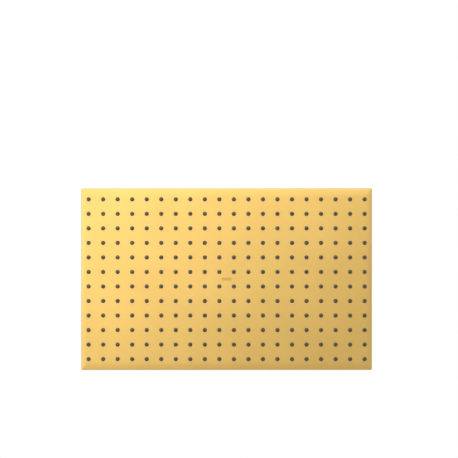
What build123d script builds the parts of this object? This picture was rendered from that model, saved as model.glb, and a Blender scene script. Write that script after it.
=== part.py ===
import os
from math import atan2, cos, degrees, radians, sin, sqrt

from build123d import *

# Rainfall shower head with a ball swivel inlet, in millimetres, +Z up.
# The origin is the start of the inlet thread; the whole head hangs below it.

# spray plate
plate_length = 400.0
plate_width = 250.0
plate_thickness = 4.8
plate_corner_radius = 1.5
plate_edge_radius = 0.8
sheet_thickness = 1.0
rim_width = 3.0

# nozzles
nozzle_pitch = 20.0
nozzle_base_diameter = 5.6
nozzle_tip_diameter = 3.0
nozzle_length = 4.4
nozzle_bore_diameter = 1.2
mat_thickness = 0.8
mat_corner_radius = 1.0

# blank mark in the middle of the spray face
mark_length = 13.5
mark_width = 4.0
mark_depth = 0.15

# spacer pillars between the two sheets
pillar_diameter = 5.0
pillar_step_pitches = 6
pillar_columns = 4
pillar_rows = 2

# ball swivel
ball_radius = 11.5
ball_meets_nut_radius = 7.96
hub_floor = 2.3
liner_thickness = 0.5
liner_top_latitude = 8.0
liner_bottom_latitude = 20.0
seal_section = 2.4
seal_latitude = 44.0
lip_height = 4.2
socket_joint_drop = 1.9
socket_wall = 1.0
collar_wall = 2.0
foot_height = 2.9
foot_reach = 1.2
flare_sagitta = 0.35

# inlet nut, made for a G1/2 thread
nut_radius = 11.6
nut_shoulder_radius = 9.7
nut_height = 12.5
nut_chamfer_height = 1.8
nut_mouth = 0.4
neck_radius = 8.0
neck_shoulder_radius = 8.35
neck_run_in = 0.3
shoulder_thickness = 0.15
thread_bore_radius = 9.32
thread_length = 9.0
washer_relief_radius = 9.9
washer_relief_length = 2.4
washer_outer_radius = 9.6
washer_inner_radius = 6.6
washer_thickness = 2.0
screen_radius = 7.9
screen_thickness = 0.6
screen_hole_diameter = 1.1
screen_hole_pitch = 1.8
screen_holes_across = 7
regulator_bore_radius = 6.2
regulator_height = 4.8
regulator_floor = 1.8
regulator_wall = 0.8
regulator_core_radius = 2.2
regulator_core_height = 2.8
regulator_port_diameter = 1.4
regulator_ports = 8
regulator_ring_section = 1.8
regulator_seal_section = 1.0
regulator_groove_width = 1.1
waterway_radius = 4.0

# hub below the ball
outlet_radius = 5.5
spigot_radius = 9.0
lock_ring_radius = 14.0
lock_ring_thickness = 0.9
lock_ring_notch = 2.0
lock_ring_notches = 4
gasket_outer_radius = 12.2
gasket_inner_radius = 10.2
gasket_thickness = 1.2

# clearances
running_gap = 0.05
mat_gap = 0.2
regulator_gap = 0.2
bore_run_out = 1.0

# derived places, all measured from the start of the inlet thread
nut_top = nut_mouth
nut_bottom = nut_top - nut_height - nut_chamfer_height
nut_chamfer_start = nut_top - nut_height
ball_below_nut = -sqrt(ball_radius**2 - ball_meets_nut_radius**2)
ball_height = ball_radius + hub_floor
ball_z = nut_bottom + ball_below_nut
plate_top = ball_z - ball_height
plate_bottom = plate_top - plate_thickness
back_sheet_bottom = plate_top - sheet_thickness
face_sheet_top = plate_bottom + sheet_thickness
cavity_height = plate_thickness - 2 * sheet_thickness
washer_seat = -thread_length - washer_relief_length
screen_seat = washer_seat - screen_thickness
regulator_seat = screen_seat - regulator_height - regulator_gap
waterway_low = ball_z - ball_radius - bore_run_out

# derived sizes
nozzle_columns = 2 * int(plate_length / (2 * nozzle_pitch))
nozzle_rows = 2 * int(plate_width / (2 * nozzle_pitch))
nozzle_hole_diameter = nozzle_base_diameter + 2 * running_gap
nozzle_taper = degrees(atan2((nozzle_base_diameter - nozzle_tip_diameter) / 2, nozzle_length))
pillar_spacing = pillar_step_pitches * nozzle_pitch
rim_inner_length = plate_length - 2 * rim_width
rim_inner_width = plate_width - 2 * rim_width
liner_inner_radius = ball_radius + running_gap
liner_outer_radius = liner_inner_radius + liner_thickness
socket_radius = liner_outer_radius + running_gap
collar_thread_radius = socket_radius + socket_wall
collar_radius = collar_thread_radius + collar_wall
foot_radius = collar_radius + foot_reach
seal_distance = ball_radius + running_gap + seal_section / 2
seal_ring_radius = seal_distance * cos(radians(seal_latitude))
seal_z = -seal_distance * sin(radians(seal_latitude))
groove_section_radius = seal_section / 2 + running_gap
regulator_body_radius = regulator_bore_radius - running_gap
regulator_wall_inner = regulator_body_radius - regulator_wall
regulator_ring_radius = (regulator_core_radius + regulator_wall_inner) / 2
regulator_seal_radius = regulator_body_radius - regulator_seal_section / 2
regulator_groove_radius = regulator_seal_radius - regulator_seal_section / 2 - running_gap
regulator_seal_z = regulator_seat + regulator_floor / 2
regulator_ring_z = regulator_seat + regulator_floor + regulator_ring_section / 2

# heights in the swivel, measured from the ball's centre
collar_top_h = lip_height
collar_bottom_h = foot_height - ball_height
socket_joint_h = -socket_joint_drop
foot_bottom_h = -ball_height
lip_radius = sqrt(socket_radius**2 - collar_top_h**2)
joint_radius = sqrt(socket_radius**2 - socket_joint_h**2)
shoulder_h = socket_joint_h + running_gap
shoulder_radius = sqrt(socket_radius**2 - shoulder_h**2)
outlet_h = -sqrt(socket_radius**2 - outlet_radius**2)
spigot_bottom_h = foot_bottom_h - sheet_thickness - lock_ring_thickness

flare_top = (collar_radius, collar_bottom_h)
flare_bottom = (foot_radius, foot_bottom_h)

swivel_plane = Plane(origin=(0, 0, ball_z), x_dir=(1, 0, 0), z_dir=(0, -1, 0))
plate_top_plane = Plane.XY.offset(plate_top)
plate_bottom_plane = Plane.XY.offset(plate_bottom)
face_top_plane = Plane.XY.offset(face_sheet_top)


# inlet nut, screwed on the ball's neck
with BuildPart() as inlet_nut:
    with BuildSketch(Plane.XZ):
        with BuildLine():
            Polyline(
                (thread_bore_radius + nut_mouth, nut_top),
                (nut_radius - nut_mouth, nut_top),
                (nut_radius, nut_top - nut_mouth),
                (nut_radius, nut_chamfer_start),
                (nut_shoulder_radius, nut_bottom),
                (neck_radius + running_gap, nut_bottom),
                (neck_radius + running_gap, washer_seat),
                (washer_relief_radius, washer_seat),
                (washer_relief_radius, -thread_length),
                (thread_bore_radius, -thread_length),
                (thread_bore_radius, 0),
                close=True,
            )
        make_face()
    revolve(axis=Axis.Z)
inlet_nut.part.label = "inlet_nut"

# hollow ball with its neck; the shoulder stops against the nut
with BuildPart() as ball_stem:
    with BuildSketch(Plane.XY.offset(nut_bottom - neck_run_in)):
        Circle(neck_radius)
    extrude(amount=screen_seat - nut_bottom + neck_run_in)
    with BuildSketch(Plane.XY.offset(nut_bottom - shoulder_thickness)):
        Circle(neck_shoulder_radius)
    extrude(amount=shoulder_thickness)
    with Locations((0, 0, ball_z)):
        Sphere(ball_radius)
    with BuildSketch(Plane.XY.offset(regulator_seat)):
        Circle(regulator_bore_radius)
    extrude(amount=ball_z + ball_radius + bore_run_out - regulator_seat, mode=Mode.SUBTRACT)
    with BuildSketch(Plane.XY.offset(waterway_low)):
        Circle(waterway_radius)
    extrude(amount=regulator_seat - waterway_low, mode=Mode.SUBTRACT)
ball_stem.part.label = "ball_stem"

# rubber washer that seals the inlet joint
with BuildPart() as inlet_washer:
    with BuildSketch(Plane.XY.offset(washer_seat)):
        Circle(washer_outer_radius)
        Circle(washer_inner_radius, mode=Mode.SUBTRACT)
    extrude(amount=washer_thickness)
inlet_washer.part.label = "inlet_washer"

# punched strainer, held down by the washer
with BuildPart() as strainer_screen:
    with BuildSketch(Plane.XY.offset(screen_seat)):
        Circle(screen_radius)
        with HexLocations(
            screen_hole_pitch / 2, screen_holes_across, screen_holes_across, major_radius=False
        ):
            Circle(screen_hole_diameter / 2, mode=Mode.SUBTRACT)
    extrude(amount=screen_thickness)
strainer_screen.part.label = "strainer_screen"

# flow regulator: a plastic cup with a core, a seal outside and a soft ring around the core
with BuildPart() as flow_regulator_body:
    with BuildSketch(Plane.XY.offset(regulator_seat)):
        Circle(regulator_body_radius)
        with PolarLocations(regulator_ring_radius, regulator_ports):
            Circle(regulator_port_diameter / 2, mode=Mode.SUBTRACT)
    extrude(amount=regulator_floor)
    with BuildSketch(Plane.XY.offset(regulator_seat + regulator_floor)):
        Circle(regulator_body_radius)
        Circle(regulator_wall_inner, mode=Mode.SUBTRACT)
    extrude(amount=regulator_height - regulator_floor)
    with BuildSketch(Plane.XY.offset(regulator_seat + regulator_floor)):
        Circle(regulator_core_radius)
    extrude(amount=regulator_core_height)
    with BuildSketch(Plane.XY.offset(regulator_seal_z - regulator_groove_width / 2)):
        Circle(regulator_bore_radius)
        Circle(regulator_groove_radius, mode=Mode.SUBTRACT)
    extrude(amount=regulator_groove_width, mode=Mode.SUBTRACT)
flow_regulator_body.part.label = "flow_regulator_body"

with BuildPart() as regulator_seal:
    with Locations((0, 0, regulator_seal_z)):
        Torus(regulator_seal_radius, regulator_seal_section / 2)
regulator_seal.part.label = "regulator_seal"

with BuildPart() as flow_regulator_ring:
    with Locations((0, 0, regulator_ring_z)):
        Torus(regulator_ring_radius, regulator_ring_section / 2)
flow_regulator_ring.part.label = "flow_regulator_ring"

# plastic liner between the ball and its socket
with BuildPart() as ball_liner:
    with BuildSketch(swivel_plane):
        with BuildLine():
            liner_arc = liner_top_latitude + liner_bottom_latitude
            inner = CenterArc((0, 0), liner_inner_radius, -liner_bottom_latitude, liner_arc)
            outer = CenterArc((0, 0), liner_outer_radius, -liner_bottom_latitude, liner_arc)
            Line(inner @ 0, outer @ 0)
            Line(inner @ 1, outer @ 1)
        make_face()
    revolve(axis=Axis.Z)
ball_liner.part.label = "ball_liner"

# O-ring that seals the ball from below
with BuildPart() as ball_seal:
    with Locations((0, 0, ball_z + seal_z)):
        Torus(seal_ring_radius, seal_section / 2)
ball_seal.part.label = "ball_seal"

# hub: the lower half of the socket, with a flared foot on the plate
with BuildPart() as hub:
    with BuildSketch(swivel_plane):
        with BuildLine():
            Polyline(
                (joint_radius, socket_joint_h),
                (collar_thread_radius - running_gap, socket_joint_h),
                (collar_thread_radius - running_gap, collar_bottom_h),
                flare_top,
            )
            flare = SagittaArc(flare_top, flare_bottom, -flare_sagitta)
            Polyline(
                flare @ 1,
                (gasket_outer_radius + running_gap, foot_bottom_h),
                (gasket_outer_radius + running_gap, foot_bottom_h + gasket_thickness),
                (gasket_inner_radius - running_gap, foot_bottom_h + gasket_thickness),
                (gasket_inner_radius - running_gap, foot_bottom_h),
                (spigot_radius, foot_bottom_h),
                (spigot_radius, spigot_bottom_h),
                (outlet_radius, spigot_bottom_h),
                (outlet_radius, outlet_h),
            )
            RadiusArc((outlet_radius, outlet_h), (joint_radius, socket_joint_h), -socket_radius)
        make_face()
    revolve(axis=Axis.Z)
    with Locations((0, 0, ball_z + seal_z)):
        Torus(seal_ring_radius, groove_section_radius, mode=Mode.SUBTRACT)
hub.part.label = "hub"

# collar nut: the upper half of the socket
with BuildPart() as collar_nut:
    with BuildSketch(swivel_plane):
        with BuildLine():
            Polyline(
                (lip_radius, collar_top_h),
                (collar_radius - nut_mouth, collar_top_h),
                (collar_radius, collar_top_h - nut_mouth),
                (collar_radius, collar_bottom_h),
                (collar_thread_radius, collar_bottom_h),
                (collar_thread_radius, shoulder_h),
                (shoulder_radius, shoulder_h),
            )
            RadiusArc((shoulder_radius, shoulder_h), (lip_radius, collar_top_h), -socket_radius)
        make_face()
    revolve(axis=Axis.Z)
collar_nut.part.label = "collar_nut"

# gasket in the underside of the hub's foot
with BuildPart() as hub_gasket:
    with BuildSketch(plate_top_plane):
        Circle(gasket_outer_radius)
        Circle(gasket_inner_radius, mode=Mode.SUBTRACT)
    extrude(amount=gasket_thickness)
hub_gasket.part.label = "hub_gasket"

# ring that locks the hub's spigot from inside the plate
with BuildPart() as hub_lock_ring:
    with BuildSketch(Plane.XY.offset(back_sheet_bottom - lock_ring_thickness)):
        Circle(lock_ring_radius)
        Circle(spigot_radius + running_gap, mode=Mode.SUBTRACT)
        with PolarLocations(lock_ring_radius, lock_ring_notches):
            Rectangle(2 * lock_ring_notch, lock_ring_notch, mode=Mode.SUBTRACT)
    extrude(amount=lock_ring_thickness)
hub_lock_ring.part.label = "hub_lock_ring"

# upper sheet of the plate
with BuildPart() as back_plate:
    with BuildSketch(Plane.XY.offset(back_sheet_bottom)):
        RectangleRounded(plate_length, plate_width, plate_corner_radius)
        Circle(spigot_radius + running_gap, mode=Mode.SUBTRACT)
    extrude(amount=sheet_thickness)
    outline = back_plate.faces().sort_by(Axis.Z)[-1].outer_wire().edges()
    fillet(outline, radius=plate_edge_radius)
back_plate.part.label = "back_plate"

# lower sheet of the plate, with a hole for every nozzle and the blank mark
with BuildPart() as face_plate:
    with BuildSketch(plate_bottom_plane):
        RectangleRounded(plate_length, plate_width, plate_corner_radius)
    extrude(amount=sheet_thickness)
    outline = face_plate.faces().sort_by(Axis.Z)[0].outer_wire().edges()
    fillet(outline, radius=plate_edge_radius)
    with BuildSketch(plate_bottom_plane):
        with GridLocations(nozzle_pitch, nozzle_pitch, nozzle_columns, nozzle_rows):
            Circle(nozzle_hole_diameter / 2)
    extrude(amount=sheet_thickness, mode=Mode.SUBTRACT)
    with BuildSketch(plate_bottom_plane):
        SlotOverall(mark_length, mark_width)
    extrude(amount=mark_depth, mode=Mode.SUBTRACT)
face_plate.part.label = "face_plate"

# four bars that close the edge between the sheets
with BuildPart() as rim_front:
    with BuildSketch(face_top_plane):
        RectangleRounded(plate_length, plate_width, plate_corner_radius)
        with Locations((0, rim_width)):
            Rectangle(plate_length, plate_width, mode=Mode.SUBTRACT)
    extrude(amount=cavity_height)
rim_front.part.label = "rim_front"

with BuildPart() as rim_rear:
    with BuildSketch(face_top_plane):
        RectangleRounded(plate_length, plate_width, plate_corner_radius)
        with Locations((0, -rim_width)):
            Rectangle(plate_length, plate_width, mode=Mode.SUBTRACT)
    extrude(amount=cavity_height)
rim_rear.part.label = "rim_rear"

rim_side_x = (plate_length - rim_width) / 2
with BuildPart() as rim_left:
    with BuildSketch(face_top_plane):
        with Locations((-rim_side_x, 0)):
            Rectangle(rim_width, rim_inner_width)
    extrude(amount=cavity_height)
rim_left.part.label = "rim_left"

with BuildPart() as rim_right:
    with BuildSketch(face_top_plane):
        with Locations((rim_side_x, 0)):
            Rectangle(rim_width, rim_inner_width)
    extrude(amount=cavity_height)
rim_right.part.label = "rim_right"

# silicone mat with all its nozzles
with BuildPart() as nozzle_mat:
    with BuildSketch(face_top_plane):
        RectangleRounded(rim_inner_length - 2 * mat_gap, rim_inner_width - 2 * mat_gap, mat_corner_radius)
        with GridLocations(pillar_spacing, pillar_spacing, pillar_columns, pillar_rows):
            Circle(pillar_diameter / 2 + mat_gap, mode=Mode.SUBTRACT)
    extrude(amount=mat_thickness)
    with BuildSketch(face_top_plane):
        with GridLocations(nozzle_pitch, nozzle_pitch, nozzle_columns, nozzle_rows):
            Circle(nozzle_base_diameter / 2)
    extrude(amount=-sheet_thickness, clean=False)
    with BuildSketch(plate_bottom_plane):
        with GridLocations(nozzle_pitch, nozzle_pitch, nozzle_columns, nozzle_rows):
            Circle(nozzle_base_diameter / 2)
    extrude(amount=-nozzle_length, taper=nozzle_taper, clean=False)
    with BuildSketch(Plane.XY.offset(plate_bottom - nozzle_length - bore_run_out)):
        with GridLocations(nozzle_pitch, nozzle_pitch, nozzle_columns, nozzle_rows):
            Circle(nozzle_bore_diameter / 2)
    extrude(amount=nozzle_length + plate_thickness, mode=Mode.SUBTRACT, clean=False)
nozzle_mat.part.label = "nozzle_mat"

# pillars that keep the sheets apart, through holes in the mat
with BuildPart() as spacer_pillars:
    with BuildSketch(face_top_plane):
        with GridLocations(pillar_spacing, pillar_spacing, pillar_columns, pillar_rows):
            Circle(pillar_diameter / 2)
    extrude(amount=cavity_height)
spacer_pillars.part.label = "spacer_pillars"

os.makedirs("parts", exist_ok=True)
export_step(inlet_nut.part, "parts/inlet_nut.step")
export_step(ball_stem.part, "parts/ball_stem.step")
export_step(inlet_washer.part, "parts/inlet_washer.step")
export_step(strainer_screen.part, "parts/strainer_screen.step")
export_step(flow_regulator_body.part, "parts/flow_regulator_body.step")
export_step(regulator_seal.part, "parts/regulator_seal.step")
export_step(flow_regulator_ring.part, "parts/flow_regulator_ring.step")
export_step(ball_liner.part, "parts/ball_liner.step")
export_step(ball_seal.part, "parts/ball_seal.step")
export_step(hub.part, "parts/hub.step")
export_step(collar_nut.part, "parts/collar_nut.step")
export_step(hub_gasket.part, "parts/hub_gasket.step")
export_step(hub_lock_ring.part, "parts/hub_lock_ring.step")
export_step(back_plate.part, "parts/back_plate.step")
export_step(face_plate.part, "parts/face_plate.step")
export_step(rim_front.part, "parts/rim_front.step")
export_step(rim_rear.part, "parts/rim_rear.step")
export_step(rim_left.part, "parts/rim_left.step")
export_step(rim_right.part, "parts/rim_right.step")
export_step(nozzle_mat.part, "parts/nozzle_mat.step")
export_step(spacer_pillars.part, "parts/spacer_pillars.step")
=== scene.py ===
import math

import bmesh
import bpy
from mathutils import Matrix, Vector
from mathutils.geometry import delaunay_2d_cdt


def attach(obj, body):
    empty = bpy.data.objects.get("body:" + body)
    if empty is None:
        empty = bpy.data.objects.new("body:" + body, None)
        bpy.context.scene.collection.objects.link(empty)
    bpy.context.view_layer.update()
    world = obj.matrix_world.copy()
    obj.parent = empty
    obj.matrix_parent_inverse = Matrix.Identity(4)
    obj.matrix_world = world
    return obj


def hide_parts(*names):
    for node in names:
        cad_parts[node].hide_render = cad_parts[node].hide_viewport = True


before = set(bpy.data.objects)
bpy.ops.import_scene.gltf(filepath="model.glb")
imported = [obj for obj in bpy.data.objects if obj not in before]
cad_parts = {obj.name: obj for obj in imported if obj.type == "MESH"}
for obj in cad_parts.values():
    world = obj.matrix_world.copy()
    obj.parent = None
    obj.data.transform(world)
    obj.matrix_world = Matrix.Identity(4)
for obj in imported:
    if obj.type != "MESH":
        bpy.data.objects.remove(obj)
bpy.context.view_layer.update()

MM = 0.001
MERGE_M = 1e-7

# ---------------------------------------------------------------- sizes, in millimetres
PLATE_X, PLATE_Y, PLATE_T = 400.0, 250.0, 4.8
CORNER, EDGE, SHEET, RIM = 1.5, 0.8, 1.0, 3.0
SEAM, HOLE_BREAK = 0.06, 0.12
MARK_X, MARK_Y, MARK_DEPTH, MARK_DRAFT = 13.5, 4.0, 0.15, 0.1
PITCH, COLS, ROWS = 20.0, 20, 12
SHEET_HOLE, NOZZLE_R, JET_R, JET_SEAT = 2.85, 2.80, 0.60, 0.30
MAT_T, MAT_CLEARANCE, MAT_CORNER = 0.8, 0.2, 1.0
PILLAR_R, PILLAR_HOLE, PILLAR_STEP = 2.5, 2.70, 120.0
SPIGOT_HOLE = 9.05

# radii about the ball's centre
BALL_R, LINER_IN, LINER_OUT, SOCKET_R = 11.5, 11.55, 12.05, 12.1

# heights, from the start of the inlet thread
BALL_Z, BALL_OVER_PLATE = -22.2, 13.8
PLATE_TOP = BALL_Z - BALL_OVER_PLATE
PLATE_BOTTOM = PLATE_TOP - PLATE_T
FACE_TOP = PLATE_BOTTOM + SHEET
BACK_LOW = PLATE_TOP - SHEET
MAT_TOP = FACE_TOP + MAT_T
FOOT = PLATE_TOP

# inlet nut, the ball's neck and what lies in them, with heights from the start of the thread
THREAD_PITCH, THREAD_MINOR, THREAD_MAJOR, THREAD_END = 1.814, 9.32, 10.40, -9.0
NUT_TOP, NUT_LOW, NUT_CHAMFER, NUT_R = 0.4, -13.9, -12.1, 11.60
RELIEF_R, WASHER_SEAT, WASHER_T = 9.9, -11.4, 2.0
SCREEN_SEAT, SCREEN_R = -12.0, 7.9
NECK_R, SHOULDER_R, NECK_BORE = 8.0, 8.35, 6.2
REG, REG_HEIGHT, REG_R, REG_FLOOR, REG_CORE_R, REG_CORE_TOP = -17.8, 4.8, 6.15, 1.8, 2.2, 4.6
REG_WALL_R = 5.35
WATERWAY = 4.0

# swivel: heights from the ball's centre, except the foot's, which run from the plate; angles in degrees
LIP_H, COLLAR_SHOULDER_H, COLLAR_LOW_H, JOINT_H = 4.20, -1.85, -10.90, -1.9
COLLAR_R, COLLAR_THREAD_R = 15.10, 13.10
OUTLET_R, SPIGOT_R, SPIGOT_DROP = 5.5, 9.0, 1.90
SEAL_DISTANCE, SEAL_ANGLE, SEAL_R, GROOVE_R = 12.75, 44.0, 1.2, 1.25
GASKET_IN, GASKET_OUT, GASKET_T = 10.2, 12.2, 1.2
FOOT_R, FLARE_LOW, FLARE_RISE, FLARE_STEPS = 16.30, 0.22, 2.58, 8
LINER_LOW, LINER_HIGH = -20.0, 7.4

# how near two points count as one when an area is filled, and the grid that finds holes near a point
SAME_POINT, GRID_CELL = 1e-7, 20.0


# ---------------------------------------------------------------- materials
def material(name):
    """A new material with its shader, and the coordinates that its patterns use."""
    m = bpy.data.materials.new(name)
    m.use_nodes = True
    tree = m.node_tree
    tree.nodes.clear()
    out = tree.nodes.new("ShaderNodeOutputMaterial")
    shader = tree.nodes.new("ShaderNodeBsdfPrincipled")
    tree.links.new(shader.outputs["BSDF"], out.inputs["Surface"])
    coord = tree.nodes.new("ShaderNodeTexCoord")
    return m, tree, shader, coord


def noise(tree, coord, stretch, scale, detail):
    """Noise in the object's own coordinates, drawn out by the stretch."""
    mapping = tree.nodes.new("ShaderNodeMapping")
    mapping.inputs["Scale"].default_value = stretch
    tree.links.new(coord.outputs["Object"], mapping.inputs["Vector"])
    n = tree.nodes.new("ShaderNodeTexNoise")
    n.inputs["Scale"].default_value = scale
    n.inputs["Detail"].default_value = detail
    tree.links.new(mapping.outputs["Vector"], n.inputs["Vector"])
    return n


def spread(tree, source, low, high, from_low=0.3, from_high=0.7):
    """Maps a value from one range to another."""
    r = tree.nodes.new("ShaderNodeMapRange")
    r.inputs["From Min"].default_value = from_low
    r.inputs["From Max"].default_value = from_high
    r.inputs["To Min"].default_value = low
    r.inputs["To Max"].default_value = high
    tree.links.new(source, r.inputs["Value"])
    return r.outputs["Result"]


def colour_ramp(tree, source, low, high):
    """A colour between low and high, over the middle of the noise."""
    ramp = tree.nodes.new("ShaderNodeValToRGB")
    ramp.color_ramp.elements[0].position = 0.3
    ramp.color_ramp.elements[0].color = (*low, 1.0)
    ramp.color_ramp.elements[1].position = 0.7
    ramp.color_ramp.elements[1].color = (*high, 1.0)
    tree.links.new(source, ramp.inputs["Fac"])
    return ramp.outputs["Color"]


def bump(tree, shader, height, strength, distance):
    b = tree.nodes.new("ShaderNodeBump")
    b.inputs["Strength"].default_value = strength
    b.inputs["Distance"].default_value = distance
    tree.links.new(height, b.inputs["Height"])
    tree.links.new(b.outputs["Normal"], shader.inputs["Normal"])


def metal(name, low, high, rough, stretch, scale, strength=0.06):
    """Metal with a fine grain drawn out by the stretch, and a slow, slight change of colour."""
    m, tree, shader, coord = material(name)
    shader.inputs["Metallic"].default_value = 1.0
    fine = noise(tree, coord, stretch, scale, 4.0)
    slow = noise(tree, coord, EVEN, 18.0, 2.0)
    tree.links.new(colour_ramp(tree, slow.outputs["Fac"], low, high), shader.inputs["Base Color"])
    tree.links.new(spread(tree, fine.outputs["Fac"], *rough), shader.inputs["Roughness"])
    bump(tree, shader, fine.outputs["Fac"], strength, METAL_GRAIN)
    return m


def soft(name, low, high, rough, scale, strength=0.2, sheen=0.0):
    """Rubber or plastic with an even, fine grain."""
    m, tree, shader, coord = material(name)
    n = noise(tree, coord, EVEN, scale, 4.0)
    tree.links.new(colour_ramp(tree, n.outputs["Fac"], low, high), shader.inputs["Base Color"])
    tree.links.new(spread(tree, n.outputs["Fac"], *rough), shader.inputs["Roughness"])
    shader.inputs["Sheen Weight"].default_value = sheen
    bump(tree, shader, n.outputs["Fac"], strength, SOFT_GRAIN)
    return m


EVEN = (1.0, 1.0, 1.0)
METAL_GRAIN, SOFT_GRAIN = 0.00002, 0.00005
GOLD_LOW, GOLD_HIGH = (0.735, 0.480, 0.140), (0.775, 0.508, 0.150)
gold_sheet = metal(
    "satin_gold_sheet", GOLD_LOW, GOLD_HIGH, rough=(0.34, 0.39), stretch=(1.0, 14.0, 14.0), scale=420.0
)
gold_turned = metal(
    "satin_gold_turned", GOLD_LOW, GOLD_HIGH, rough=(0.24, 0.32), stretch=(1.0, 1.0, 26.0), scale=300.0
)
gold_ball = metal(
    "bright_gold_ball", GOLD_LOW, GOLD_HIGH, rough=(0.14, 0.20), stretch=EVEN, scale=500.0, strength=0.02
)
gold_etched = metal(
    "etched_gold", (0.60, 0.39, 0.12), (0.68, 0.45, 0.14), rough=(0.52, 0.62), stretch=EVEN, scale=2500.0,
    strength=0.3,
)
brass_plain = metal(
    "machined_brass", (0.72, 0.50, 0.20), (0.80, 0.57, 0.25), rough=(0.20, 0.32), stretch=(1.0, 1.0, 40.0),
    scale=300.0,
)
steel_plain = metal(
    "plain_steel", (0.56, 0.56, 0.55), (0.66, 0.66, 0.64), rough=(0.25, 0.38), stretch=(1.0, 12.0, 1.0),
    scale=300.0,
)
silicone = soft(
    "grey_silicone", (0.062, 0.066, 0.068), (0.085, 0.089, 0.091), rough=(0.45, 0.58), scale=900.0,
    strength=0.15, sheen=0.1,
)
black_rubber = soft(
    "black_rubber", (0.022, 0.022, 0.022), (0.040, 0.040, 0.040), rough=(0.50, 0.66), scale=1200.0
)
white_plastic = soft(
    "white_plastic", (0.76, 0.76, 0.73), (0.84, 0.84, 0.81), rough=(0.32, 0.42), scale=700.0, strength=0.08
)



# ---------------------------------------------------------------- mesh helpers
def finish_piece(name, shape, mats, body, node, smooth_angle=35.0):
    """Makes the piece's mesh, with edges sharp above the angle, hides the CAD part that it replaces and puts
    it on its body.
    """
    mesh = bpy.data.meshes.new(name)
    mesh.from_pydata([(x * MM, y * MM, z * MM) for x, y, z in shape.verts], [], shape.faces)
    for m in mats:
        mesh.materials.append(m)
    mesh.polygons.foreach_set("material_index", shape.mats)
    bm = bmesh.new()
    bm.from_mesh(mesh)
    bmesh.ops.remove_doubles(bm, verts=bm.verts, dist=MERGE_M)
    bmesh.ops.recalc_face_normals(bm, faces=bm.faces)
    limit = math.radians(smooth_angle)
    for f in bm.faces:
        f.smooth = True
    for e in bm.edges:
        e.smooth = len(e.link_faces) == 2 and e.calc_face_angle(0.0) < limit
    bm.to_mesh(mesh)
    bm.free()
    obj = bpy.data.objects.new(name, mesh)
    bpy.context.collection.objects.link(obj)
    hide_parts(node)
    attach(obj, body)


class Shape:
    """Vertices and faces gathered for one piece, with a material number for each face."""

    def __init__(self):
        self.verts = []
        self.faces = []
        self.mats = []

    def ring(self, points):
        start = len(self.verts)
        self.verts.extend(points)
        return list(range(start, start + len(points)))

    def face(self, ids, mat=0):
        self.faces.append(list(ids))
        self.mats.append(mat)

    def bridge(self, a, b, mat=0):
        """Joins two rings of equal length with a band of faces."""
        for i in range(len(a)):
            j = (i + 1) % len(a)
            self.face((a[i], a[j], b[j], b[i]), mat)

    def wall(self, loop, low, high, mat=0):
        """An upright wall between two heights along a loop of (x, y)."""
        self.bridge(
            self.ring([(x, y, low) for x, y in loop]), self.ring([(x, y, high) for x, y in loop]), mat
        )

    def lathe(self, profile, steps=64, centre=(0.0, 0.0), closed=True):
        """Turns an (r, z) profile about Z, joining its ends if closed. A point on the axis is one vertex."""
        rings = []
        for r, z in profile:
            if r == 0.0:
                rings.append(self.ring([(centre[0], centre[1], z)]))
                continue
            points = []
            for i in range(steps):
                a = 2 * math.pi * i / steps
                points.append((centre[0] + r * math.cos(a), centre[1] + r * math.sin(a), z))
            rings.append(self.ring(points))
        pairs = list(zip(rings, rings[1:]))
        if closed:
            pairs.append((rings[-1], rings[0]))
        for a, b in pairs:
            if len(a) == 1:
                for i in range(steps):
                    self.face((a[0], b[(i + 1) % steps], b[i]))
            elif len(b) == 1:
                for i in range(steps):
                    self.face((a[i], a[(i + 1) % steps], b[0]))
            else:
                self.bridge(a, b)

    def flat(self, loops, z, mat=0, flip=False):
        """Fills the area inside loops[0] and outside the other loops. Each loop is a list of (x, y)."""
        points, edges = [], []
        for loop in loops:
            start = len(points)
            points.extend(Vector(p) for p in loop)
            edges.extend((start + i, start + (i + 1) % len(loop)) for i in range(len(loop)))
        result = delaunay_2d_cdt(points, edges, [], 0, SAME_POINT)
        coords, triangles = result[0], result[2]
        keep = inside_test(loops)
        base = self.ring([(p.x, p.y, z) for p in coords])
        for t in triangles:
            cx = sum(coords[i].x for i in t) / 3
            cy = sum(coords[i].y for i in t) / 3
            if keep(cx, cy):
                self.face([base[i] for i in (reversed(t) if flip else t)], mat)


def cell(value):
    return math.floor(value / GRID_CELL)


def inside_test(loops):
    """Makes a test for points inside loops[0] and outside the rest. A coarse grid finds the near holes."""
    boxes = []
    for loop in loops[1:]:
        xs = [p[0] for p in loop]
        ys = [p[1] for p in loop]
        boxes.append((min(xs), min(ys), max(xs), max(ys), loop))
    grid = {}
    for b in boxes:
        for gx in range(cell(b[0]), cell(b[2]) + 1):
            for gy in range(cell(b[1]), cell(b[3]) + 1):
                grid.setdefault((gx, gy), []).append(b)

    def in_polygon(x, y, loop):
        odd = False
        for i in range(len(loop)):
            x1, y1 = loop[i]
            x2, y2 = loop[i - 1]
            if (y1 > y) != (y2 > y) and x < (x2 - x1) * (y - y1) / (y2 - y1) + x1:
                odd = not odd
        return odd

    def keep(x, y):
        if not in_polygon(x, y, loops[0]):
            return False
        for b in grid.get((cell(x), cell(y)), ()):
            if b[0] < x < b[2] and b[1] < y < b[3] and in_polygon(x, y, b[4]):
                return False
        return True

    return keep


def circle(x, y, r, steps):
    return [
        (x + r * math.cos(2 * math.pi * i / steps), y + r * math.sin(2 * math.pi * i / steps))
        for i in range(steps)
    ]


def rounded(length, width, corner, steps=10):
    """Outline of a rounded rectangle, anticlockwise."""
    points = []
    for cx, cy, start in ((1, 1, 0), (-1, 1, 90), (-1, -1, 180), (1, -1, 270)):
        ox, oy = cx * (length / 2 - corner), cy * (width / 2 - corner)
        for i in range(steps + 1):
            a = math.radians(start + 90 * i / steps)
            points.append((ox + corner * math.cos(a), oy + corner * math.sin(a)))
    return points


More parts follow.
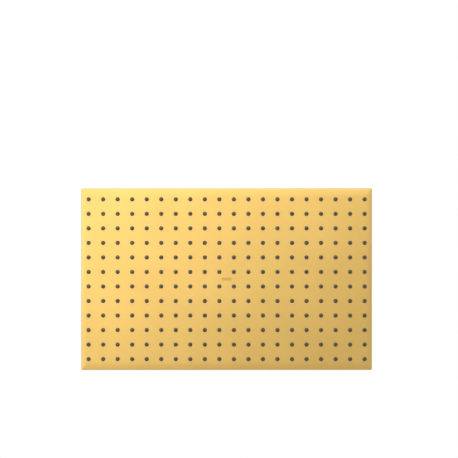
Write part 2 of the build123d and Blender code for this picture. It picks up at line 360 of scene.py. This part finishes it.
def arc(radius, start, end, steps, centre=(0.0, 0.0)):
    """Points on an arc, angles in degrees."""
    points = []
    for i in range(steps + 1):
        a = math.radians(start + (end - start) * i / steps)
        points.append((centre[0] + radius * math.cos(a), centre[1] + radius * math.sin(a)))
    return points


def bevelled(profile, size):
    """Cuts each corner of a closed (r, z) profile back by size, for a small worn edge."""
    out = []
    count = len(profile)
    for i, p in enumerate(profile):
        q, s = profile[i - 1], profile[(i + 1) % count]
        for other in (q, s):
            d = math.hypot(other[0] - p[0], other[1] - p[1])
            f = min(size / d, 0.45)
            out.append((p[0] + (other[0] - p[0]) * f, p[1] + (other[1] - p[1]) * f))
    return out


def nozzle_places():
    for j in range(ROWS):
        for i in range(COLS):
            yield (i - (COLS - 1) / 2) * PITCH, (j - (ROWS - 1) / 2) * PITCH


def slab(shape, low, high, holes, round_low=0.0, round_high=0.0):
    """A sheet of the plate: an outer edge rounded below or above, and (x, y, radius, steps) holes.

    Returns the loops of its lower and upper face, which the caller fills.
    """
    length, width, corner = PLATE_X, PLATE_Y, CORNER
    steps = 6
    levels = []
    if round_low:
        for i in range(steps + 1):
            a = math.radians(90 * i / steps)
            levels.append((round_low * (1 - math.sin(a)), low + round_low * (1 - math.cos(a))))
    else:
        levels += [(SEAM, low), (0.0, low + SEAM)]
    if round_high:
        for i in range(steps + 1):
            a = math.radians(90 * (steps - i) / steps)
            levels.append((round_high * (1 - math.sin(a)), high - round_high * (1 - math.cos(a))))
    else:
        levels += [(0.0, high - SEAM), (SEAM, high)]
    rings = []
    for inset, z in levels:
        loop = rounded(length - 2 * inset, width - 2 * inset, corner - inset)
        rings.append(shape.ring([(x, y, z) for x, y in loop]))
    for a, b in zip(rings, rings[1:]):
        shape.bridge(a, b)
    first, last = levels[0][0], levels[-1][0]
    bottom = [rounded(length - 2 * first, width - 2 * first, corner - first)]
    top = [rounded(length - 2 * last, width - 2 * last, corner - last)]
    for x, y, r, count in holes:
        bottom.append(circle(x, y, r + HOLE_BREAK, count))
        top.append(circle(x, y, r, count))
        a = shape.ring([(px, py, low) for px, py in bottom[-1]])
        b = shape.ring([(px, py, low + HOLE_BREAK) for px, py in top[-1]])
        c = shape.ring([(px, py, high) for px, py in top[-1]])
        shape.bridge(a, b)
        shape.bridge(b, c)
    return bottom, top


# ---------------------------------------------------------------- spray plate
def spray_face():
    """The lower sheet, with a hole for each nozzle and a blank etched mark in the middle."""
    shape = Shape()
    holes = [(x, y, SHEET_HOLE, 28) for x, y in nozzle_places()]
    bottom, top = slab(shape, PLATE_BOTTOM, FACE_TOP, holes, round_low=EDGE)
    end_radius = MARK_Y / 2 - 0.001
    rim = rounded(MARK_X, MARK_Y, end_radius, 12)
    floor = rounded(MARK_X - 2 * MARK_DRAFT, MARK_Y - 2 * MARK_DRAFT, end_radius - MARK_DRAFT, 12)
    shape.flat(bottom + [rim], PLATE_BOTTOM, flip=True)
    shape.flat(top, FACE_TOP)
    rim_ring = shape.ring([(x, y, PLATE_BOTTOM) for x, y in rim])
    floor_ring = shape.ring([(x, y, PLATE_BOTTOM + MARK_DEPTH) for x, y in floor])
    shape.bridge(rim_ring, floor_ring, mat=1)
    shape.flat([floor], PLATE_BOTTOM + MARK_DEPTH, mat=1, flip=True)
    finish_piece("spray_face_sheet", shape, [gold_sheet, gold_etched], "head", "face_plate")


def back_sheet():
    shape = Shape()
    bottom, top = slab(shape, BACK_LOW, PLATE_TOP, [(0.0, 0.0, SPIGOT_HOLE, 64)], round_high=EDGE)
    shape.flat(bottom, BACK_LOW, flip=True)
    shape.flat(top, PLATE_TOP)
    finish_piece("back_sheet", shape, [gold_sheet], "head", "back_plate")


def long_outline(side, inset):
    """Loop of the rear bar (side +1) or the front one (side -1), with two rounded outer corners."""
    centre_x, centre_y = PLATE_X / 2 - CORNER, PLATE_Y / 2 - CORNER
    outer = arc(CORNER, 0, 90, 10, (centre_x, centre_y)) + arc(CORNER, 90, 180, 10, (-centre_x, centre_y))
    points = [(math.copysign(abs(x) - inset, x), y - inset) for x, y in outer]
    inner_y = PLATE_Y / 2 - RIM
    points += [(inset - PLATE_X / 2, inner_y), (PLATE_X / 2 - inset, inner_y)]
    return [(x, side * y) for x, y in points]


def side_outline(side, inset):
    """Loop of the right bar (side +1) or the left one (side -1), which ends at the long bars."""
    inner_x, outer_x = side * (PLATE_X / 2 - RIM), side * (PLATE_X / 2 - inset)
    half = PLATE_Y / 2 - RIM
    return [(inner_x, -half), (outer_x, -half), (outer_x, half), (inner_x, half)]


def rim_bar(name, node, outline, side):
    """One bar of the closed edge between the sheets, with fine seam edges."""
    shape = Shape()
    levels = ((SEAM, FACE_TOP), (0.0, FACE_TOP + SEAM), (0.0, BACK_LOW - SEAM), (SEAM, BACK_LOW))
    rings = [shape.ring([(x, y, z) for x, y in outline(side, inset)]) for inset, z in levels]
    for a, b in zip(rings, rings[1:]):
        shape.bridge(a, b)
    shape.face(rings[0])
    shape.face(rings[-1])
    finish_piece(name, shape, [gold_sheet], "head", node, 25.0)


# a nozzle, from the foot of its bore over the rounded tip to its root: radius, and height over the plate
NOZZLE = [
    (JET_R, JET_SEAT), (JET_R, -3.95), (0.74, -4.28), (0.95, -4.40), (1.22, -4.37), (1.42, -4.22),
    (1.52, -3.95), (1.70, -3.40), (1.85, -2.70), (2.05, -2.00), (2.32, -1.25), (2.64, -0.60),
    (2.76, -0.30), (2.79, 0.0), (NOZZLE_R, SHEET),
]


def pillar_places():
    for x in (-1.5, -0.5, 0.5, 1.5):
        for y in (-0.5, 0.5):
            yield x * PILLAR_STEP, y * PILLAR_STEP


def silicone_mat():
    """The soft mat with all its nozzles, each bored right through, and a hole for each pillar."""
    shape = Shape()
    steps = 22
    for x, y in nozzle_places():
        shape.lathe([(r, PLATE_BOTTOM + z) for r, z in NOZZLE], steps, (x, y), closed=False)
    less = 2 * RIM + 2 * MAT_CLEARANCE
    outline = rounded(PLATE_X - less, PLATE_Y - less, MAT_CORNER, steps=4)
    shape.wall(outline, FACE_TOP, MAT_TOP)
    low_loops, high_loops = [outline], [outline]
    for x, y in nozzle_places():
        jet = circle(x, y, JET_R, steps)
        low_loops.append(circle(x, y, NOZZLE_R, steps))
        high_loops.append(jet)
        shape.wall(jet, PLATE_BOTTOM + JET_SEAT, MAT_TOP)
    for x, y in pillar_places():
        hole = circle(x, y, PILLAR_HOLE, 24)
        low_loops.append(hole)
        high_loops.append(hole)
        shape.wall(hole, FACE_TOP, MAT_TOP)
    shape.flat(low_loops, FACE_TOP, flip=True)
    shape.flat(high_loops, MAT_TOP)
    finish_piece("silicone_nozzles", shape, [silicone], "head", "nozzle_mat", 50.0)


def spacer_posts():
    """The eight pillars, drawn with a fine bore that the CAD pillars don't have."""
    shape = Shape()
    bore = 0.9
    profile = [(bore, FACE_TOP), (PILLAR_R, FACE_TOP), (PILLAR_R, BACK_LOW), (bore, BACK_LOW)]
    for x, y in pillar_places():
        shape.lathe(bevelled(profile, 0.2), 32, (x, y))
    finish_piece("spacer_posts", shape, [steel_plain], "head", "spacer_pillars")


spray_face()
back_sheet()
rim_bar("rim_bar_rear", "rim_rear", long_outline, 1)
rim_bar("rim_bar_front", "rim_front", long_outline, -1)
rim_bar("rim_bar_left", "rim_left", side_outline, -1)
rim_bar("rim_bar_right", "rim_right", side_outline, 1)
silicone_mat()
spacer_posts()


# ---------------------------------------------------------------- ball swivel
def turned(name, profile, mats, body, node, steps=128):
    """A piece turned from one closed (r, z) profile."""
    shape = Shape()
    shape.lathe(profile, steps)
    finish_piece(name, shape, mats, body, node, 30.0)


def sphere_arc(radius, start, end, steps):
    return arc(radius, start, end, steps, (0.0, BALL_Z))


def latitude(height, radius):
    """Degrees above the ball's equator at a height on a sphere about its centre."""
    return math.degrees(math.asin(height / radius))


def thread_radius(z, turn):
    """Radius of the female thread at a height and a turn from 0 to 1, with flat crests and roots."""
    phase = (z / THREAD_PITCH - turn) % 1.0
    ridge = abs(2.0 * phase - 1.0)
    flat, run_in, run_out = 0.14, 0.5, 0.9
    depth = min(max((ridge - flat) / (1.0 - 2.0 * flat), 0.0), 1.0)
    fade_in = min(max(-z / run_in, 0.0), 1.0)
    fade_out = min(max((z - THREAD_END) / run_out, 0.0), 1.0)
    return THREAD_MINOR + (THREAD_MAJOR - THREAD_MINOR) * depth * fade_in * fade_out


def inlet_nut():
    """The nut's outside as a turned profile, and its thread as a real helix."""
    around, down = 144, 150
    shape = Shape()
    profile = [
        (THREAD_MINOR, 0.0), (9.66, 0.34), (9.80, NUT_TOP), (11.25, NUT_TOP), (11.42, 0.33), (11.55, 0.20),
        (NUT_R, 0.0), (NUT_R, NUT_CHAMFER + 0.12), (11.53, NUT_CHAMFER - 0.08), (9.80, NUT_LOW + 0.10),
        (9.66, NUT_LOW), (NECK_R + 0.15, NUT_LOW), (NECK_R + 0.05, NUT_LOW + 0.10),
        (NECK_R + 0.05, WASHER_SEAT), (RELIEF_R, WASHER_SEAT), (RELIEF_R, THREAD_END),
        (THREAD_MINOR, THREAD_END),
    ]
    shape.lathe(profile, around, closed=False)
    rows = []
    for k in range(down + 1):
        z = THREAD_END * k / down
        row = []
        for i in range(around):
            a = 2 * math.pi * i / around
            r = thread_radius(z, i / around)
            row.append((r * math.cos(a), r * math.sin(a), z))
        rows.append(shape.ring(row))
    for a, b in zip(rows, rows[1:]):
        shape.bridge(a, b)
    finish_piece("inlet_nut_shell", shape, [gold_turned], "inlet", "inlet_nut", 30.0)


def ball_and_neck():
    """Hollow ball on its neck, with a narrow shoulder under the nut."""
    start = latitude(NUT_LOW - 0.30 - BALL_Z, BALL_R) - 1.0
    end = 1.2 - math.degrees(math.acos(WATERWAY / BALL_R))
    profile = [
        (NECK_BORE, SCREEN_SEAT), (NECK_R - 0.1, SCREEN_SEAT), (NECK_R, SCREEN_SEAT - 0.1),
        (NECK_R, NUT_LOW), (SHOULDER_R, NUT_LOW), (SHOULDER_R, NUT_LOW - 0.12),
        (SHOULDER_R - 0.11, NUT_LOW - 0.20),
    ]
    profile += sphere_arc(BALL_R, start, end, 56)
    profile += [(WATERWAY + 0.05, BALL_Z - 10.68), (WATERWAY, BALL_Z - 10.4)]
    profile += [(WATERWAY, REG), (NECK_BORE, REG)]
    turned("ball_and_neck", profile, [gold_ball], "inlet", "ball_stem", 144)


def collar_nut():
    """The upper half of the socket, which closes over the ball."""
    lip_r = math.sqrt(SOCKET_R**2 - LIP_H**2)
    start, end = latitude(COLLAR_SHOULDER_H, SOCKET_R), latitude(LIP_H, SOCKET_R) - 1.0
    profile = sphere_arc(SOCKET_R, start, end, 12)
    below_top = [
        (lip_r + 0.18, LIP_H), (COLLAR_R - 0.38, LIP_H), (COLLAR_R - 0.20, LIP_H - 0.05),
        (COLLAR_R - 0.06, LIP_H - 0.18), (COLLAR_R, LIP_H - 0.38), (COLLAR_R, COLLAR_LOW_H + 0.14),
        (COLLAR_R - 0.08, COLLAR_LOW_H + 0.02), (COLLAR_R - 0.18, COLLAR_LOW_H),
        (COLLAR_THREAD_R, COLLAR_LOW_H), (COLLAR_THREAD_R, COLLAR_SHOULDER_H),
    ]
    profile += [(r, BALL_Z + h) for r, h in below_top]
    turned("collar_nut_shell", profile, [gold_turned], "head", "collar_nut", 144)


def seal_centre():
    """Centre of the O-ring's section, as (r, z)."""
    a = math.radians(SEAL_ANGLE)
    return SEAL_DISTANCE * math.cos(a), BALL_Z - SEAL_DISTANCE * math.sin(a)


def seal_groove():
    """Section of the O-ring's groove, kept to the part outside the socket's sphere."""
    groove = arc(GROOVE_R, 100.0 - SEAL_ANGLE, -100.0 - SEAL_ANGLE, 28, seal_centre())
    return [p for p in groove if math.hypot(p[0], p[1] - BALL_Z) > SOCKET_R]


def hub():
    """The lower half of the socket with the seal's groove, the spigot and the flared foot."""
    groove = seal_groove()
    upper, lower = [math.degrees(math.atan2(p[1] - BALL_Z, p[0])) for p in (groove[0], groove[-1])]
    outlet = -math.degrees(math.acos(OUTLET_R / SOCKET_R))
    profile = sphere_arc(SOCKET_R, latitude(JOINT_H, SOCKET_R), upper + 0.6, 12)
    profile += groove + sphere_arc(SOCKET_R, lower - 0.6, outlet, 5)
    recess_in, recess_out = GASKET_IN - 0.05, GASKET_OUT + 0.05
    below = [
        (OUTLET_R, 0.15 - SPIGOT_DROP), (OUTLET_R + 0.15, -SPIGOT_DROP), (SPIGOT_R - 0.15, -SPIGOT_DROP),
        (SPIGOT_R, 0.15 - SPIGOT_DROP), (SPIGOT_R, 0.0), (recess_in, 0.0), (recess_in, GASKET_T),
        (recess_out, GASKET_T), (recess_out, 0.0), (FOOT_R - 0.08, 0.0), (FOOT_R, 0.08),
        (FOOT_R - 0.02, FLARE_LOW),
    ]
    for i in range(1, FLARE_STEPS + 1):
        t = i / FLARE_STEPS
        flare = FOOT_R - 0.02 - 1.13 * (1 - (1 - t) ** 2.2)
        below.append((flare, FLARE_LOW + FLARE_RISE * t))
    below += [(15.08, 2.88), (14.96, 2.90), (COLLAR_THREAD_R - 0.05, 2.90)]
    profile += [(r, FOOT + h) for r, h in below]
    profile += [(COLLAR_THREAD_R - 0.05, BALL_Z + JOINT_H - 0.1), (COLLAR_THREAD_R - 0.15, BALL_Z + JOINT_H)]
    turned("hub_and_foot", profile, [gold_turned], "head", "hub", 144)


def ball_liner():
    """A thin band of a sphere between the ball and its socket."""
    profile = sphere_arc(LINER_IN, LINER_LOW, LINER_HIGH, 16)
    profile += sphere_arc(LINER_OUT, LINER_HIGH, LINER_LOW, 16)
    turned("ball_liner_ring", profile, [white_plastic], "liner", "ball_liner")


def rubber_ring(name, section, centre, last, steps, body, node, around=128):
    """An O-ring: a round section about (r, z), whose last point stands at that angle."""
    profile = arc(section, 0, last, steps, centre)
    turned(name, profile, [black_rubber], body, node, around)


def rubber_washer(name, inner, outer, low, high, worn, body, node):
    profile = bevelled([(inner, low), (outer, low), (outer, high), (inner, high)], worn)
    turned(name, profile, [black_rubber], body, node)


def lock_ring():
    """The ring that locks the spigot, with four notches in its outside."""
    shape = Shape()
    thickness, outer, notch_floor, half_notch, steps = 0.9, 14.0, 12.0, 4.2, 192
    outline = []
    for i in range(steps):
        a = 360.0 * i / steps
        off = min(abs((a - 90.0 * k + 180.0) % 360.0 - 180.0) for k in range(4))
        r = notch_floor if off < half_notch else outer
        outline.append((r * math.cos(math.radians(a)), r * math.sin(math.radians(a))))
    loops = [outline, circle(0.0, 0.0, SPIGOT_HOLE, 96)]
    for loop in loops:
        shape.wall(loop, BACK_LOW - thickness, BACK_LOW)
    shape.flat(loops, BACK_LOW - thickness, flip=True)
    shape.flat(loops, BACK_LOW)
    finish_piece("spigot_lock_ring", shape, [brass_plain], "head", "hub_lock_ring")


inlet_nut()
ball_and_neck()
collar_nut()
hub()
ball_liner()
rubber_ring("ball_seal_ring", SEAL_R, seal_centre(), 350, 35, "seal", "ball_seal")
rubber_washer("foot_gasket", GASKET_IN, GASKET_OUT, FOOT, FOOT + GASKET_T, 0.15, "head", "hub_gasket")
lock_ring()


# ---------------------------------------------------------------- inside the inlet
def strainer():
    """A punched disc. Its holes are finer and closer together than the CAD disc's."""
    shape = Shape()
    pitch, row_pitch, hole, last_hole = 1.5, 1.5 * 0.866, 0.5, 5.6
    loops = [circle(0.0, 0.0, SCREEN_R, 72)]
    for j in range(-4, 5):
        for i in range(-5, 6):
            x, y = pitch * (i + 0.5 * (j % 2)), row_pitch * j
            if math.hypot(x, y) < last_hole:
                loops.append(circle(x, y, hole, 14))
    for loop in loops:
        shape.wall(loop, SCREEN_SEAT, WASHER_SEAT)
    shape.flat(loops, SCREEN_SEAT, flip=True)
    shape.flat(loops, WASHER_SEAT)
    finish_piece("inlet_strainer", shape, [steel_plain], "inlet", "strainer_screen")


def regulator_cup():
    """The regulator's plastic cup with its core and the seal's groove; the CAD cup's ports aren't drawn."""
    shape = Shape()
    shape.lathe([(REG_CORE_R, REG + REG_CORE_TOP), (0.0, REG + REG_CORE_TOP)], closed=False)
    groove_r, groove_low, groove_high = 5.1, 0.35, 1.45
    above = [
        (0.0, 0.0), (5.95, 0.0), (REG_R, 0.2), (REG_R, groove_low), (groove_r, groove_low),
        (groove_r, groove_high), (REG_R, groove_high), (REG_R, REG_HEIGHT - 0.15), (6.0, REG_HEIGHT),
        (5.5, REG_HEIGHT), (REG_WALL_R, REG_HEIGHT - 0.15), (REG_WALL_R, REG_FLOOR),
        (REG_CORE_R, REG_FLOOR), (REG_CORE_R, REG_CORE_TOP),
    ]
    shape.lathe([(r, REG + h) for r, h in above], closed=False)
    finish_piece(
        "flow_regulator_cup", shape, [white_plastic], "inlet", "flow_regulator_body"
    )


rubber_washer(
    "inlet_rubber_washer", 6.6, 9.6, WASHER_SEAT, WASHER_SEAT + WASHER_T, 0.25, "inlet", "inlet_washer"
)
strainer()
regulator_cup()
rubber_ring(
    "flow_regulator_soft_ring", 0.9, (3.775, REG + 2.7), 345, 23, "inlet", "flow_regulator_ring", 64
)
rubber_ring("flow_regulator_seal_ring", 0.5, (5.65, REG + 0.9), 340, 17, "inlet", "regulator_seal", 64)

# ---------------------------------------------------------------- floor, background and light
def pale_floor():
    bpy.ops.mesh.primitive_plane_add(size=60.0, location=(0.0, 0.0, FLOOR_Z))
    floor = bpy.context.object
    floor.name = "floor"
    floor_mat, tree, shader, coord = material("pale_floor")
    n = noise(tree, coord, EVEN, 3.0, 3.0)
    colour = colour_ramp(tree, n.outputs["Fac"], (0.54, 0.54, 0.535), (0.57, 0.57, 0.565))
    tree.links.new(colour, shader.inputs["Base Color"])
    shader.inputs["Roughness"].default_value = 0.85
    floor.data.materials.append(floor_mat)


def math_node(tree, operation, first):
    """A two-input math node with its first input linked."""
    node = tree.nodes.new("ShaderNodeMath")
    node.operation = operation
    tree.links.new(first, node.inputs[0])
    return node


def grey(value):
    return (value, value, value, 1.0)


def horizon_bands(tree, split):
    """Light and dark bands around the horizon, by the turn of the view direction about Z."""
    back_y = math_node(tree, "MULTIPLY", split.outputs["Y"])
    back_y.inputs[1].default_value = -1.0
    turn = math_node(tree, "ARCTAN2", split.outputs["X"])
    tree.links.new(back_y.outputs["Value"], turn.inputs[1])
    bands = tree.nodes.new("ShaderNodeValToRGB")
    bands.color_ramp.interpolation = "B_SPLINE"
    elements = bands.color_ramp.elements
    elements[0].position, elements[0].color = 0.0, grey(BAND_END)
    elements[1].position, elements[1].color = 1.0, grey(BAND_END)
    for place, value in BANDS:
        elements.new(place).color = grey(value)
    around = spread(tree, turn.outputs["Value"], 0.0, 1.0, -math.pi, math.pi)
    tree.links.new(around, bands.inputs["Fac"])
    return bands.outputs["Color"]


def studio_world():
    """White overhead, softly banded towards the horizon so that the turned parts show their roundness."""
    world = bpy.data.worlds.new("studio")
    bpy.context.scene.world = world
    world.use_nodes = True
    tree = world.node_tree
    tree.nodes.clear()
    out = tree.nodes.new("ShaderNodeOutputWorld")
    background = tree.nodes.new("ShaderNodeBackground")
    tree.links.new(background.outputs["Background"], out.inputs["Surface"])
    coord = tree.nodes.new("ShaderNodeTexCoord")
    split = tree.nodes.new("ShaderNodeSeparateXYZ")
    tree.links.new(coord.outputs["Generated"], split.inputs["Vector"])
    mix = tree.nodes.new("ShaderNodeMix")
    mix.data_type = "RGBA"
    tree.links.new(spread(tree, split.outputs["Z"], 0.0, 1.0, BANDS_FADE, BANDS_GONE), mix.inputs["Factor"])
    tree.links.new(horizon_bands(tree, split), mix.inputs["A"])
    mix.inputs["B"].default_value = grey(1.0)
    tree.links.new(mix.outputs["Result"], background.inputs["Color"])
    background.inputs["Strength"].default_value = 1.0


def area(name, place, target, size, power):
    """A square area light that faces its target and isn't seen by the camera."""
    data = bpy.data.lights.new(name, "AREA")
    data.shape = "SQUARE"
    data.size = size
    data.energy = power
    light = bpy.data.objects.new(name, data)
    bpy.context.collection.objects.link(light)
    light.location = place
    light.rotation_euler = (Vector(target) - Vector(place)).to_track_quat("-Z", "Y").to_euler()
    light.visible_camera = False


FLOOR_Z = -2.10
# brightness at each share of a full turn; the seam behind the object has the same value on both sides
BAND_END = 0.95
BANDS = [
    (0.10, 0.55), (0.22, 0.95), (0.31, 0.45), (0.40, 0.80), (0.48, 1.10), (0.56, 0.70), (0.61, 0.02),
    (0.67, 0.00), (0.72, 0.20), (0.78, 0.95), (0.86, 0.50), (0.93, 0.80),
]
# heights of the view direction where the bands start to fade and where they are gone
BANDS_FADE, BANDS_GONE = 0.30, 0.80

pale_floor()
studio_world()
area("low_left_light", (-0.30, -0.40, -0.70), (0.0, 0.0, -0.04), 1.2, 6.1)
area("key_light", (-1.1, -1.6, 1.3), (0.0, 0.0, -0.02), 1.0, 22.0)
area("fill_light", (1.8, 1.2, 1.0), (0.0, 0.0, -0.02), 1.2, 10.0)

# ---------------------------------------------------------------- camera, straight up at the spray face
VIEW_WIDTH = 1.576592 * PLATE_X * MM
CAMERA_PLACE = (0.0033, -0.0691, -1.0)
camera_data = bpy.data.cameras.new("camera")
camera_data.type = "ORTHO"
camera_data.ortho_scale = VIEW_WIDTH
camera_data.clip_start, camera_data.clip_end = 0.01, 50.0
camera = bpy.data.objects.new("camera", camera_data)
bpy.context.collection.objects.link(camera)
camera.location = CAMERA_PLACE
camera.rotation_euler = (math.pi, 0.0, 0.0)
bpy.context.scene.camera = camera
bpy.context.scene.view_settings.view_transform = "Standard"
